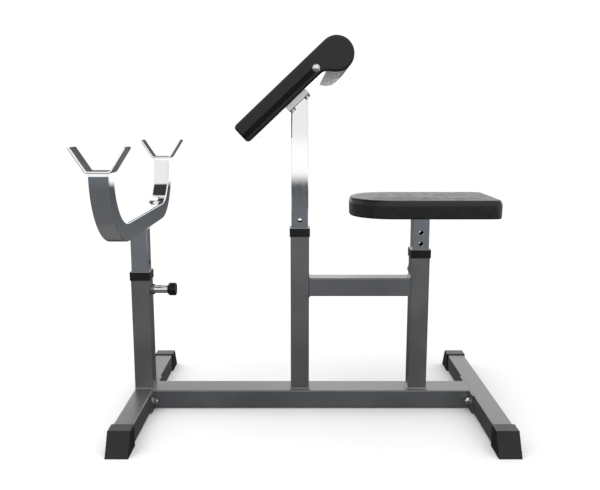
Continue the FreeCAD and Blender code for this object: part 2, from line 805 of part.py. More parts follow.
def base_frame():
    """Feet, caps, beam, plates, fasteners, uprights, brace and collars."""
    pieces = frame_fasteners()
    for name, along in (("front", front_x), ("rear", rear_x)):
        place = Vector(along, 0, 0)
        pieces[name + "_foot"] = moved(cross_foot(), place)
        cap = moved(foot_cap(), place)
        pieces[name + "_foot_cap_right"] = cap
        pieces[name + "_foot_cap_left"] = mirrored(cap)
    beam_start = front_x + tube / 2 + plate_thickness
    beam_end = rear_x - tube / 2 - plate_thickness
    beam = tube_bar(tube, beam_width, beam_wall, tube_corner, beam_end - beam_start)
    pieces["base_beam"] = moved(beam, Vector(beam_start, 0, foot_middle), ALONG_X)
    pieces["front_end_plate"] = moved(end_plate(), Vector(beam_start - plate_thickness, 0, 0))
    pieces["rear_end_plate"] = moved(end_plate(), Vector(beam_end, 0, 0))
    columns = (("front", front_x, front_top, front_pin_drop, X, 0.0),
               ("pad", pad_x, pad_top, pad_pin_drop, Y, weld_leg),
               ("seat", seat_x, seat_top, seat_pin_drop, Y, weld_leg))
    for name, along, top, drop, direction, bead in columns:
        column = upright(top - foot_top, drop, direction, bead)
        pieces[name + "_upright"] = moved(column, Vector(along, 0, foot_top))
        pieces[name + "_collar"] = moved(collar(), Vector(along, 0, top))
    pieces["cross_brace"] = cross_brace()
    return pieces


def pull_pins():
    """The three pull pins, each on its upright's face."""
    pieces = {}
    face = tube / 2
    places = (("front", Vector(front_x + face, 0, front_pin_z), ALONG_X),
              ("pad", Vector(pad_x, face, pad_pin_z), ALONG_Y),
              ("seat", Vector(seat_x, face, seat_pin_z), ALONG_Y))
    made = pull_pin()
    for name, place, turn in places:
        for piece, shape in made.items():
            pieces[name + "_" + piece] = moved(shape, place, turn)
    return pieces


def bar_rest():
    """Post, fork and cradles of the bar rest."""
    under = front_top + bar_rest_lift
    row_end = front_pin_z - bar_below_count * bar_pitch
    length = under - (row_end - hole_edge)
    count = bar_above_count + bar_below_count + 1
    base = Vector(front_x, 0, under)
    arm_top = under + fork_height
    arm = fork_span / 2
    cradle = moved(bar_cradle(), Vector(front_x, arm, arm_top))
    return {"bar_post": moved(drilled_post(length, hole_edge, bar_pitch, count, X), base),
            "bar_fork": moved(bar_fork(), base),
            "bar_cradle_right": cradle,
            "bar_cradle_left": mirrored(cradle)}


os.makedirs("parts", exist_ok=True)
for make in (base_frame, pull_pins, bar_rest, arm_pad, seat):
    for node, shape in make().items():
        shape.exportStep("parts/" + node + ".step")
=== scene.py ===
import bmesh
import bpy
import math
from mathutils import Matrix, Vector


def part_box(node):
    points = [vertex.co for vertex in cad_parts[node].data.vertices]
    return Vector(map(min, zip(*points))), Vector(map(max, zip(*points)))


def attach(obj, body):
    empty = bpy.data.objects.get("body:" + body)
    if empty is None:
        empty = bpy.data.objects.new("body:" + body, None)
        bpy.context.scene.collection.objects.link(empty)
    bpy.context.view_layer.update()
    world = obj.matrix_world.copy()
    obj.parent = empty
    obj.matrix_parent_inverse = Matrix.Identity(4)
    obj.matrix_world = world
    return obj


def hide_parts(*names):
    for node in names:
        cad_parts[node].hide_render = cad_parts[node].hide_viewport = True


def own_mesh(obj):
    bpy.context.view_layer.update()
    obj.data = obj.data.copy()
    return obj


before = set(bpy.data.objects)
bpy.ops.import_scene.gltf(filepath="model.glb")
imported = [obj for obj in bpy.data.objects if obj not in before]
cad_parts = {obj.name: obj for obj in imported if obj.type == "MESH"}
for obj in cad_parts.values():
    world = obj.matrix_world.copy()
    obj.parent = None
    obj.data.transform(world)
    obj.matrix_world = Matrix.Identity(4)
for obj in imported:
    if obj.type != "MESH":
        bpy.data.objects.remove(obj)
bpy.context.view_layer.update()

# The photograph's view: a normal lens a little under two metres from the bench, level across
# and tipped down by about ten degrees, so that the seat's top is seen almost edge on.
scene = bpy.context.scene
lens = bpy.data.cameras.new("photograph_view")
lens.sensor_fit = "HORIZONTAL"
lens.sensor_width = 36.0
lens.lens = 42.03
camera = bpy.data.objects.new("photograph_view", lens)
camera.location = (-0.0155, -1.8708, 0.7771)
camera.rotation_euler = (math.radians(80.18), 0.0, 0.0)
scene.collection.objects.link(camera)
scene.camera = camera
scene.view_settings.view_transform = "Standard"

# The studio: a pale floor under a white dome of light. What shines sees the dome in bands, dim
# below the horizon and dark overhead, as in the photograph, where the chrome is white above the
# horizon, slate grey below it and dark in the hollow of the far arm.
dome_white = (0.84, 0.84, 0.84, 1.0)
dome_black = (0.0, 0.0, 0.0, 1.0)
dome_light = 1.25
near_bands = ((0.0, (0.100, 0.102, 0.105)), (0.30, (0.098, 0.106, 0.113)),
              (0.405, (0.118, 0.131, 0.143)), (0.4365, (0.122, 0.136, 0.149)),
              (0.4506, (0.094, 0.104, 0.114)), (0.4572, (0.052, 0.062, 0.072)),
              (0.4648, (0.93, 0.93, 0.93)), (0.484, (0.93, 0.93, 0.93)),
              (0.493, (0.764, 0.768, 0.768)), (0.948, (0.764, 0.768, 0.768)),
              (0.963, (0.035, 0.036, 0.037)))
far_bands = ((0.16, (0.125, 0.125, 0.125)), (0.28, (0.045, 0.045, 0.045)),
             (0.345, (0.045, 0.045, 0.045)), (0.38, (0.120, 0.122, 0.126)),
             (0.42, (0.110, 0.114, 0.118)), (0.44, (0.088, 0.095, 0.102)),
             (0.459, (0.060, 0.070, 0.082)), (0.4612, (0.97, 0.97, 0.97)),
             (0.945, (0.97, 0.97, 0.97)), (0.955, (0.035, 0.036, 0.037)))
near_to_far = (-0.1, 0.1)
right_lift = 0.05
right_zone = (0.88, 0.96)
overhead_limit = 0.94
overhead_zone = (-0.08, 0.02)
end_shade = 0.25
end_zone = (0.3, 0.8)
floor_white = (0.96, 0.96, 0.96, 1.0)
floor_reach = 30.0


def fed(tree, socket, value):
    """Links another socket to this one, or sets it to a plain value."""
    if isinstance(value, bpy.types.NodeSocket):
        tree.links.new(value, socket)
    else:
        socket.default_value = value


def mixed(tree, share, first, second):
    """Colour between two colours; each of the three may be a value or a socket."""
    node = tree.nodes.new("ShaderNodeMix")
    node.data_type = "RGBA"
    fed(tree, node.inputs[0], share)
    fed(tree, node.inputs[6], first)
    fed(tree, node.inputs[7], second)
    return node.outputs[2]


def banded(tree, share, bands):
    """Colour read off a strip of bands, each a place from 0 to 1 and a colour."""
    node = tree.nodes.new("ShaderNodeValToRGB")
    strip = node.color_ramp.elements
    while len(strip) < len(bands):
        strip.new(0.5)
    for stop, (place, colour) in zip(strip, bands):
        stop.position = place
        stop.color = (*colour, 1.0)
    tree.links.new(share, node.inputs["Fac"])
    return node.outputs["Color"]


def ranged(tree, value, low, high, start=0.35, end=0.65):
    """Value stretched from start..end to low..high; low and high may be sockets."""
    node = tree.nodes.new("ShaderNodeMapRange")
    fed(tree, node.inputs["Value"], value)
    fed(tree, node.inputs["From Min"], start)
    fed(tree, node.inputs["From Max"], end)
    fed(tree, node.inputs["To Min"], low)
    fed(tree, node.inputs["To Max"], high)
    return node.outputs["Result"]


def worked(tree, operation, first, second=0.0):
    """Result of a sum on one or two numbers; each may be a value or a socket."""
    node = tree.nodes.new("ShaderNodeMath")
    node.operation = operation
    fed(tree, node.inputs[0], first)
    fed(tree, node.inputs[1], second)
    return node.outputs["Value"]


def built(name, made):
    """New object at the origin with the shape that was made, in the scene."""
    mesh = bpy.data.meshes.new(name)
    made.to_mesh(mesh)
    made.free()
    shape = bpy.data.objects.new(name, mesh)
    scene.collection.objects.link(shape)
    return shape


def finish_of(name, metallic=0.0):
    """New material with one shader, and what its nodes are added to."""
    material = bpy.data.materials.new(name)
    material.use_nodes = True
    shader = material.node_tree.nodes["Principled BSDF"]
    shader.inputs["Metallic"].default_value = metallic
    return material, material.node_tree, shader


world = bpy.data.worlds.new("studio_dome")
world.use_nodes = True
scene.world = world
tree = world.node_tree
tree.nodes.clear()
direction = tree.nodes.new("ShaderNodeTexCoord").outputs["Generated"]
parts = tree.nodes.new("ShaderNodeSeparateXYZ")
tree.links.new(direction, parts.inputs["Vector"])
sky_x, sky_y, sky_z = parts.outputs[:]
height = ranged(tree, sky_z, 0.0, 1.0, -1.0, 1.0)
height = worked(tree, "ADD", height, ranged(tree, sky_x, 0.0, right_lift, *right_zone))
height = worked(tree, "MINIMUM", height, ranged(tree, sky_x, 1.0, overhead_limit, *overhead_zone))
bands = mixed(tree, ranged(tree, sky_y, 0.0, 1.0, *near_to_far),
              banded(tree, height, near_bands), banded(tree, height, far_bands))
sideways = worked(tree, "MULTIPLY", sky_x, sky_x)
bands = mixed(tree, ranged(tree, sideways, 0.0, end_shade, *end_zone), bands, dome_black)
ray = tree.nodes.new("ShaderNodeLightPath")
sky = tree.nodes.new("ShaderNodeBackground")
sky.inputs["Strength"].default_value = dome_light
tree.links.new(mixed(tree, ray.outputs["Is Glossy Ray"], dome_white, bands), sky.inputs["Color"])
sky_out = tree.nodes.new("ShaderNodeOutputWorld")
tree.links.new(sky.outputs["Background"], sky_out.inputs["Surface"])

made = bmesh.new()
bmesh.ops.create_grid(made, x_segments=1, y_segments=1, size=floor_reach)
studio_floor = built("studio_floor", made)
studio_floor.visible_glossy = False
floor_paint, tree, shader = finish_of("studio_floor_white")
shader.inputs["Base Color"].default_value = floor_white
shader.inputs["Roughness"].default_value = 1.0
shader.inputs["Specular IOR Level"].default_value = 0.0
studio_floor.data.materials.append(floor_paint)

# Cards stand round the bench, out of sight, for what shines: the insides of the cradles are dark
# in the grey one, the underside of the pad's roll is pale in the white one, and a small one beside
# the seat lights the corner of its rear end.
card_back = 1.08
card_side = 0.75
card_black = (0.0, 0.0, 0.0, 1.0)
card_kinds = (("studio_card_grey", (0.11, 0.112, 0.115, 1.0),
               (((-1.0, card_back), (-0.66, card_back), (0.74, 1.2)),
                ((-0.66, card_back), (-0.19, card_back), (0.69, 1.2)))),
              ("studio_card_white", (2.9, 2.9, 2.9, 1.0),
               (((-0.015, card_back), (0.22, card_back), (0.72, 0.90)),)),
              ("studio_card_small", (1.2, 1.2, 1.2, 1.0),
               (((card_side, -0.36), (card_side, 0.10), (0.50, 0.62)),)))


def points_of(geometry):
    """The vertices among what a mesh operator gives back."""
    return [part for part in geometry if isinstance(part, bmesh.types.BMVert)]


for name, tone, panels in card_kinds:
    made = bmesh.new()
    for start, end, (low, high) in panels:
        foot = [made.verts.new((*start, low)), made.verts.new((*end, low))]
        raised = bmesh.ops.extrude_edge_only(made, edges=[made.edges.new(foot)])["geom"]
        bmesh.ops.translate(made, verts=points_of(raised), vec=(0.0, 0.0, high - low))
    studio_card = built(name, made)
    studio_card.visible_camera = False
    studio_card.visible_diffuse = False
    studio_card.visible_shadow = False
    card_paint, tree, shader = finish_of(name)
    shader.inputs["Base Color"].default_value = card_black
    shader.inputs["Specular IOR Level"].default_value = 0.0
    shader.inputs["Emission Color"].default_value = tone
    shader.inputs["Emission Strength"].default_value = 1.0
    studio_card.data.materials.append(card_paint)

# A large softbox hangs over the bench, a little to the left and in front, for the soft shadow on
# the floor. What shines doesn't see it.
softbox = bpy.data.lights.new("softbox", "AREA")
softbox.shape = "RECTANGLE"
softbox.size = 3.0
softbox.size_y = 2.0
softbox.energy = 22.0
softbox_place = bpy.data.objects.new("softbox", softbox)
softbox_place.location = (-0.6, -0.6, 2.8)
softbox_place.rotation_euler = (math.radians(12.0), math.radians(-12.0), 0.0)
softbox_place.visible_glossy = False
scene.collection.objects.link(softbox_place)

# Base frame: two cross feet, a beam with bolted end plates, three uprights and a brace, all of
# square steel tube, welded where they meet and finished in a satin metallic grey powder coat.
coat_light = (0.230, 0.232, 0.238, 1.0)
coat_dark = (0.200, 0.202, 0.208, 1.0)


def effect_group(name, values, results):
    """Empty shader group with named number inputs and outputs, and its two ends."""
    group = bpy.data.node_groups.new(name, "ShaderNodeTree")
    for value, start in values:
        group.interface.new_socket(value, in_out="INPUT", socket_type="NodeSocketFloat")
        group.interface.items_tree[-1].default_value = start
    for result in results:
        group.interface.new_socket(result, in_out="OUTPUT", socket_type="NodeSocketFloat")
    return group, group.nodes.new("NodeGroupInput"), group.nodes.new("NodeGroupOutput")


def noise_in(tree, place, scale, detail):
    """Noise texture; place is a vector socket, scale a number or a socket."""
    node = tree.nodes.new("ShaderNodeTexNoise")
    node.inputs["Detail"].default_value = detail
    tree.links.new(place, node.inputs["Vector"])
    fed(tree, node.inputs["Scale"], scale)
    return node.outputs["Fac"]


def toned(group, noise, ends):
    """Puts a noise out of a texture group as its tone, and stretched as its roughness."""
    start, end = ends
    group.links.new(ranged(group, noise, 0.0, 1.0), end.inputs["Tone"])
    group.links.new(ranged(group, noise, start.outputs["Least Roughness"],
                           start.outputs["Most Roughness"]), end.inputs["Roughness"])


def textured(tree, shader, group, values, colours, depth):
    """Places a texture group under a shader: its tone, its roughness and its bump."""
    skin = tree.nodes.new("ShaderNodeGroup")
    skin.node_tree = group
    for name, value in values.items():
        skin.inputs[name].default_value = value
    tree.links.new(mixed(tree, skin.outputs["Tone"], *colours), shader.inputs["Base Color"])
    tree.links.new(skin.outputs["Roughness"], shader.inputs["Roughness"])
    bump = tree.nodes.new("ShaderNodeBump")
    bump.inputs["Distance"].default_value = depth
    tree.links.new(skin.outputs["Height"], bump.inputs["Height"])
    tree.links.new(bump.outputs["Normal"], shader.inputs["Normal"])


def dress(material, *nodes):
    """Gives CAD pieces a finish."""
    for node in nodes:
        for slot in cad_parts[node].material_slots:
            slot.material = material


peel_group, peel_in, peel_out = effect_group(
    "skin_texture", (("Fine Scale", 600.0), ("Broad Scale", 14.0), ("Least Roughness", 0.4),
                     ("Most Roughness", 0.5)), ("Height", "Tone", "Roughness"))
place = peel_group.nodes.new("ShaderNodeTexCoord").outputs["Object"]
peel = noise_in(peel_group, place, peel_in.outputs["Fine Scale"], detail=3.0)
peel_group.links.new(peel, peel_out.inputs["Height"])
broad = noise_in(peel_group, place, peel_in.outputs["Broad Scale"], detail=4.0)
toned(peel_group, broad, (peel_in, peel_out))
satin_coat, tree, shader = finish_of("satin_grey_coat", metallic=0.85)
textured(tree, shader, peel_group,
         {"Fine Scale": 420.0, "Broad Scale": 9.0, "Least Roughness": 0.31, "Most Roughness": 0.36},
         (coat_dark, coat_light), depth=0.00001)
dress(satin_coat, "front_foot", "rear_foot", "base_beam", "front_end_plate", "rear_end_plate",
      "front_upright", "pad_upright", "seat_upright", "cross_brace",
      "front_pin_boss", "pad_pin_boss", "seat_pin_boss")

# Foot caps and post collars: black polypropylene mouldings pushed on the tube ends, with a fine
# spark-eroded texture from the mould.
plastic_light = (0.006, 0.006, 0.0065, 1.0)
plastic_dark = (0.003, 0.003, 0.0035, 1.0)
moulded_black, tree, shader = finish_of("moulded_black_plastic")
shader.inputs["Specular IOR Level"].default_value = 0.4
textured(tree, shader, peel_group,
         {"Fine Scale": 1500.0, "Broad Scale": 25.0, "Least Roughness": 0.24, "Most Roughness": 0.32},
         (plastic_dark, plastic_light), depth=0.000008)
dress(moulded_black, "front_foot_cap_left", "front_foot_cap_right", "rear_foot_cap_left",
      "rear_foot_cap_right", "front_collar", "pad_collar", "seat_collar")

# Frame bolts, washers and nuts: zinc-plated carriage bolts through the feet, with the nuts on
# the end plates of the beam.
zinc_light = (0.76, 0.76, 0.75, 1.0)
zinc_dark = (0.60, 0.61, 0.62, 1.0)
zinc_plate, tree, shader = finish_of("bright_zinc_plate", metallic=1.0)
textured(tree, shader, peel_group,
         {"Fine Scale": 900.0, "Broad Scale": 120.0, "Least Roughness": 0.14, "Most Roughness": 0.2},
         (zinc_dark, zinc_light), depth=0.00001)
dress(zinc_plate, "frame_bolts", "frame_washers", "frame_nuts")

# Posts, bent bar fork and bar cradles: chrome-plated steel, polished along the tube before
# plating, so that faint streaks follow its length. The chrome colour goes a little way into the
# holes, and the bore behind them is painted almost black: painted shade inside the tubes.
chrome_light = (0.87, 0.875, 0.88, 1.0)
chrome_dark = (0.85, 0.855, 0.865, 1.0)
bore_painted_shade = (0.03, 0.028, 0.027, 1.0)
plated_depth = 0.0019
streak_group, streak_in, streak_out = effect_group(
    "polishing_streaks", (("Across Scale", 500.0), ("Along Scale", 6.0), ("Least Roughness", 0.05),
                          ("Most Roughness", 0.12)), ("Height", "Tone", "Roughness"))
place = streak_group.nodes.new("ShaderNodeTexCoord").outputs["Object"]
stretch = streak_group.nodes.new("ShaderNodeCombineXYZ")
for axis, value in (("X", "Across Scale"), ("Y", "Across Scale"), ("Z", "Along Scale")):
    streak_group.links.new(streak_in.outputs[value], stretch.inputs[axis])
stretched = streak_group.nodes.new("ShaderNodeVectorMath")
stretched.operation = "MULTIPLY"
streak_group.links.new(place, stretched.inputs[0])
streak_group.links.new(stretch.outputs["Vector"], stretched.inputs[1])
streak = noise_in(streak_group, stretched.outputs["Vector"], 1.0, detail=2.0)
streak_group.links.new(streak, streak_out.inputs["Height"])
toned(streak_group, streak, (streak_in, streak_out))
# A mask of the tube's inside, past the chrome's reach, where the shade in the bores is painted.
bore_group, bore_in, bore_out = effect_group(
    "bore_shade_mask", (("Middle X", 0.0), ("Reach", 0.02)), ("Inside",))
place = bore_group.nodes.new("ShaderNodeTexCoord").outputs["Object"]
parts = bore_group.nodes.new("ShaderNodeSeparateXYZ")
bore_group.links.new(place, parts.inputs["Vector"])
off_x = worked(bore_group, "SUBTRACT", parts.outputs["X"], bore_in.outputs["Middle X"])
off_x = worked(bore_group, "ABSOLUTE", off_x)
off_y = worked(bore_group, "ABSOLUTE", parts.outputs["Y"])
off_middle = worked(bore_group, "MAXIMUM", off_x, off_y)
inside = worked(bore_group, "LESS_THAN", off_middle, bore_in.outputs["Reach"])
bore_group.links.new(inside, bore_out.inputs["Inside"])
for node in ("bar_post", "pad_post", "seat_post"):
    low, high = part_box(node)
    post_chrome, tree, shader = finish_of("chrome_plate_" + node, metallic=1.0)
    textured(tree, shader, streak_group,
             {"Across Scale": 900.0, "Along Scale": 9.0, "Least Roughness": 0.03,
              "Most Roughness": 0.06}, (chrome_dark, chrome_light), depth=0.0000005)
    # Painted shade in the bore: inside the holes the colour is mixed to almost black.
    bore = tree.nodes.new("ShaderNodeGroup")
    bore.node_tree = bore_group
    bore.inputs["Middle X"].default_value = (low.x + high.x) / 2
    bore.inputs["Reach"].default_value = (high.y - low.y) / 2 - plated_depth
    plated = shader.inputs["Base Color"].links[0].from_socket
    tree.links.new(mixed(tree, bore.outputs["Inside"], plated, bore_painted_shade), shader.inputs["Base Color"])
    dress(post_chrome, node)
bent_chrome, tree, shader = finish_of("bent_chrome_plate", metallic=1.0)
textured(tree, shader, peel_group,
         {"Fine Scale": 60.0, "Broad Scale": 18.0, "Least Roughness": 0.03, "Most Roughness": 0.06},
         (chrome_dark, chrome_light), depth=0.000002)
dress(bent_chrome, "bar_fork", "bar_cradle_left", "bar_cradle_right")

# Spring pull pins: a turned barrel screwed into a welded boss, a steel pin and its coiled spring
# inside it, and a moulded knob on the end. Pulled out, the pin frees the post and its shoulder
# presses the spring against the barrel's outer end.
nickel_light = (0.90, 0.89, 0.88, 1.0)
nickel_dark = (0.83, 0.825, 0.82, 1.0)
knob_light = (0.004, 0.004, 0.0045, 1.0)
knob_dark = (0.002, 0.002, 0.0025, 1.0)
wire_thickness = 0.0014
wire_sides = 8
coil_turns = 5
turn_steps = 24
coil_slack = 0.0002
pin_ways = (("front", Vector((1.0, 0.0, 0.0))), ("pad", Vector((0.0, 1.0, 0.0))),
            ("seat", Vector((0.0, 1.0, 0.0))))
satin_nickel, tree, shader = finish_of("satin_nickel", metallic=1.0)
textured(tree, shader, peel_group,
         {"Fine Scale": 900.0, "Broad Scale": 60.0, "Least Roughness": 0.12, "Most Roughness": 0.17},
         (nickel_dark, nickel_light), depth=0.000003)
dress(satin_nickel, "front_pin_barrel", "pad_pin_barrel", "seat_pin_barrel")
dress(zinc_plate, "front_pull_pin", "pad_pull_pin", "seat_pull_pin")
for pin, along in pin_ways:
    low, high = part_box(pin + "_pin_spring")
    middle = (low + high) / 2
    length = (high - low).dot(along)
    start = middle - along * (length - wire_thickness) / 2
    outwards = Vector((0.0, 0.0, (high.z - low.z - wire_thickness) / 2))
    rise = along * (length - wire_thickness) / (coil_turns * turn_steps)
    facing = Vector((0.0, 0.0, 1.0)).rotation_difference(along.cross(outwards))
    made = bmesh.new()
    ring = bmesh.ops.create_circle(made, segments=wire_sides,
                                   radius=(wire_thickness - coil_slack) / 2)["verts"]
    bmesh.ops.rotate(made, verts=ring, matrix=facing.to_matrix())
    bmesh.ops.translate(made, verts=ring, vec=start + outwards)
    bmesh.ops.spin(made, geom=made.verts[:] + made.edges[:], cent=start, axis=along, dvec=rise,
                   angle=2 * math.pi * coil_turns, steps=coil_turns * turn_steps)
    bmesh.ops.holes_fill(made, edges=[edge for edge in made.edges if edge.is_boundary], sides=0)
    bmesh.ops.recalc_face_normals(made, faces=made.faces[:])
    coil = built(pin + "_pin_coil", made)
    coil.data.materials.append(zinc_plate)
    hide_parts(pin + "_pin_spring")
    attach(coil, "frame")
    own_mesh(coil)
glossy_black, tree, shader = finish_of("glossy_black_plastic")
shader.inputs["Specular IOR Level"].default_value = 0.3
textured(tree, shader, peel_group,
         {"Fine Scale": 900.0, "Broad Scale": 40.0, "Least Roughness": 0.16, "Most Roughness": 0.24},
         (knob_dark, knob_light), depth=0.000003)
dress(glossy_black, "front_pin_knob", "pad_pin_knob", "seat_pin_knob")

# Arm pad's hardware: a zinc-plated plate welded on the slanting end of the post, with bolts into
# tee nuts in a film-faced board, a chrome stud on each side of the pad, and a smooth vinyl strip
# that goes round the pad's low end and ends below the studs.
film_light = (0.013, 0.013, 0.014, 1.0)
film_dark = (0.009, 0.009, 0.010, 1.0)
strip_light = (0.006, 0.006, 0.006, 1.0)
strip_dark = (0.004, 0.004, 0.004, 1.0)
dress(zinc_plate, "pad_plate", "pad_bolts", "pad_washers", "pad_tee_nuts")
button_metal, tree, shader = finish_of("satin_button", metallic=1.0)
textured(tree, shader, peel_group,
         {"Fine Scale": 900.0, "Broad Scale": 60.0, "Least Roughness": 0.36, "Most Roughness": 0.42},
         (nickel_light, chrome_light), depth=0.000003)
dress(button_metal, "pad_studs")
film_face, tree, shader = finish_of("black_film_face")
textured(tree, shader, peel_group,
         {"Fine Scale": 300.0, "Broad Scale": 20.0, "Least Roughness": 0.04, "Most Roughness": 0.07},
         (film_dark, film_light), depth=0.0000005)
dress(film_face, "pad_board")
strip_vinyl, tree, shader = finish_of("smooth_black_strip")
shader.inputs["Specular IOR Level"].default_value = 0.08
textured(tree, shader, peel_group,
         {"Fine Scale": 900.0, "Broad Scale": 30.0, "Least Roughness": 0.3, "Most Roughness": 0.38},
         (strip_dark, strip_light), depth=0.000004)
dress(strip_vinyl, "pad_trim")

# Arm pad's cushion: foam with a roll along its top edge, covered in black grained vinyl that is
# sewn along both ends. Under the pad the vinyl is drawn tight, and its grain is pulled smooth.
vinyl_light = (0.008, 0.008, 0.0085, 1.0)
vinyl_dark = (0.005, 0.005, 0.0055, 1.0)
cloth_pressure = 4.0
cut_reach = 1e-6
hair = 1e-5
along_x = Vector((1.0, 0.0, 0.0))
along_y = Vector((0.0, 1.0, 0.0))
along_z = Vector((0.0, 0.0, 1.0))
grain_group, grain_in, grain_out = effect_group(
    "hide_grain", (("Cell Scale", 700.0), ("Wave Scale", 70.0), ("Wave Height", 32.0),
                   ("Broad Scale", 12.0), ("Least Roughness", 0.38), ("Most Roughness", 0.48)),
    ("Height", "Tone", "Roughness"))
place = grain_group.nodes.new("ShaderNodeTexCoord").outputs["Object"]
cells = grain_group.nodes.new("ShaderNodeTexVoronoi")
cells.feature = "DISTANCE_TO_EDGE"
grain_group.links.new(place, cells.inputs["Vector"])
grain_group.links.new(grain_in.outputs["Cell Scale"], cells.inputs["Scale"])
grain = ranged(grain_group, cells.outputs["Distance"], 0.0, 1.0, start=0.0, end=0.25)
waves = noise_in(grain_group, place, grain_in.outputs["Wave Scale"], detail=2.0)
waves = worked(grain_group, "MULTIPLY", waves, grain_in.outputs["Wave Height"])
grain_group.links.new(worked(grain_group, "ADD", grain, waves), grain_out.inputs["Height"])
broad = noise_in(grain_group, place, grain_in.outputs["Broad Scale"], detail=4.0)
toned(grain_group, broad, (grain_in, grain_out))
black_vinyl, tree, shader = finish_of("black_grained_vinyl")
shader.inputs["Specular IOR Level"].default_value = 0.45
textured(tree, shader, grain_group,
         {"Cell Scale": 620.0, "Broad Scale": 55.0, "Least Roughness": 0.31, "Most Roughness": 0.43},
         (vinyl_dark, vinyl_light), depth=0.00001)
drawn_vinyl, tree, shader = finish_of("black_vinyl_drawn_smooth")
textured(tree, shader, peel_group,
         {"Fine Scale": 300.0, "Broad Scale": 20.0, "Least Roughness": 0.06, "Most Roughness": 0.1},
         (vinyl_dark, vinyl_light), depth=0.000001)


def chain_turn(made, point, middle, degrees, steps):
    """Carries a chain of edges on from a point round a middle in the XZ plane."""
    turned = bmesh.ops.spin(made, geom=[point], cent=middle, axis=along_y,
                            angle=math.radians(degrees), steps=steps)
    return points_of(turned["geom_last"])[0]


def chain_run(made, point, end, steps):
    """Carries a chain of edges on from a point straight to an end, in equal steps."""
    start = point.co.copy()
    for k in range(1, steps + 1):
        following = made.verts.new(start.lerp(Vector(end), k / steps))
        made.edges.new((point, following))
        point = following
    return point


def marks(start, end, pitch):
    """Places between two ends, a pitch or a little less apart."""
    count = math.ceil((end - start) / pitch)
    return [start + (end - start) * k / count for k in range(1, count)]


def sliced(made, faces, across, places):
    """Cuts faces with planes square to a direction, so that the cloth has points to move."""
    corners = dict.fromkeys(part for face in faces for part in (*face.verts, *face.edges))
    geometry = [*corners, *faces]
    for place in places:
        cut = bmesh.ops.bisect_plane(made, geom=geometry, dist=cut_reach, plane_co=across * place,
                                     plane_no=across)
        geometry = cut["geom"]


def smooth_share(value):
    """Eases from 0 to 1 as a value goes from 0 to 1."""
    held = min(1.0, max(0.0, value))
    return held * held * (3.0 - 2.0 * held)


def upholstered(name, made, swell, frames, loose):
    """Padded piece from a closed shape: blown up as cloth for some frames, capped and made finer.

    loose(point) is the share of the swelling that a point takes part in, from 0 to 1.
    """
    shape = built(name, made)
    rest = [point.co.copy() for point in shape.data.vertices]
    pins = shape.vertex_groups.new(name="pinned")
    for number, point in enumerate(rest):
        pins.add([number], 1.0 - loose(point), "REPLACE")
    cloth = shape.modifiers.new("cloth", "CLOTH")
    cloth.settings.vertex_group_mass = "pinned"
    cloth.settings.use_pressure = True
    cloth.settings.uniform_pressure_force = cloth_pressure
    cloth.settings.effector_weights.gravity = 0.0
    cloth.point_cache.frame_start = 1
    cloth.point_cache.frame_end = frames
    for number in range(1, frames + 1):
        scene.frame_set(number)
    blown = shape.evaluated_get(bpy.context.evaluated_depsgraph_get()).to_mesh()
    swollen = [point.co.copy() for point in blown.vertices]
    scene.frame_set(1)
    shape.modifiers.clear()
    shape.vertex_groups.clear()
    for point, before, after in zip(shape.data.vertices, rest, swollen):
        shift = after - before
        if shift.length > swell:
            shift *= swell / shift.length
        point.co = before + shift * loose(before)
    finer = shape.modifiers.new("finer", "SUBSURF")
    finer.levels = 1
    finer.render_levels = 1
    solved = shape.evaluated_get(bpy.context.evaluated_depsgraph_get())
    finer_mesh = bpy.data.meshes.new_from_object(solved)
    shape.modifiers.clear()
    shape.data = finer_mesh
    return shape


def sewn(shape, middle, across, width, depth):
    """Presses a seam into a padded piece where a plane cuts it."""
    made = bmesh.new()
    made.from_mesh(shape.data)
    for shift in (-width, 0.0, width):
        bmesh.ops.bisect_plane(made, geom=made.verts[:] + made.edges[:] + made.faces[:],
                               dist=cut_reach, plane_co=middle + across * shift, plane_no=across)
    made.normal_update()
    line = [point for point in made.verts if abs((point.co - middle).dot(across)) < hair]
    for point in line:
        point.co -= point.normal * depth
    made.to_mesh(shape.data)
    made.free()


def vinyl_piece(shape, node, body):
    """Smooth black vinyl on a padded piece that stands for a CAD node."""
    for face in shape.data.polygons:
        face.use_smooth = True
    shape.data.materials.clear()
    shape.data.materials.append(black_vinyl)
    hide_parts(node)
    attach(shape, body)


slope = math.radians(43.0)
post_low, post_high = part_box("pad_post")
post_reach = (post_high.x - post_low.x) / 2
plate_middle = (post_low.x + post_reach, 0.0, post_high.z - post_reach * math.tan(slope))
pad_slope = Matrix.Translation(plate_middle) @ Matrix.Rotation(-slope, 4, "Y")
level_again = pad_slope.inverted()


def level_box(node):
    """Lowest and highest corner of a piece of the arm pad, with the slope taken out."""
    points = [level_again @ point.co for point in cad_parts[node].data.vertices]
    lows = [min(point[axis] for point in points) for axis in range(3)]
    highs = [max(point[axis] for point in points) for axis in range(3)]
    return Vector(lows), Vector(highs)


pad_low, pad_high = level_box("pad_cushion")
board_low, board_high = level_box("pad_board")
board_clear = 0.001
pad_crown = 0.002
pad_frames = 20
pad_mesh = 0.009
corner_loss = 0.0012
pad_under = board_low.z
pad_top = pad_high.z - pad_crown + corner_loss
pad_end = pad_low.x - corner_loss
pad_half = pad_high.y
pad_rim = 0.005
pad_seam_width = 0.0008
pad_seam_depth = 0.0004
roll_radius = 0.0395
roll_middle = Vector((pad_high.x - pad_crown - roll_radius, 0.0, pad_top - roll_radius))
throat_radius = 0.028
throat_drop = roll_middle.z - pad_under + throat_radius
throat_run = math.sqrt((roll_radius + throat_radius) ** 2 - throat_drop ** 2)
throat_pinch = math.degrees(math.atan2(throat_drop, throat_run))
throat_middle = roll_middle + Vector((-throat_run, 0.0, -throat_drop))
low_round = 0.008
low_middle = (pad_end + low_round, 0.0, pad_under + low_round)
top_round = 0.009
top_middle = (pad_end + top_round, 0.0, pad_top - top_round)
roll_steps = 30
throat_steps = 6
under_steps = 20
round_steps = 4
end_steps = 4
top_steps = 30
rim_steps = 4
side_ease = 0.10
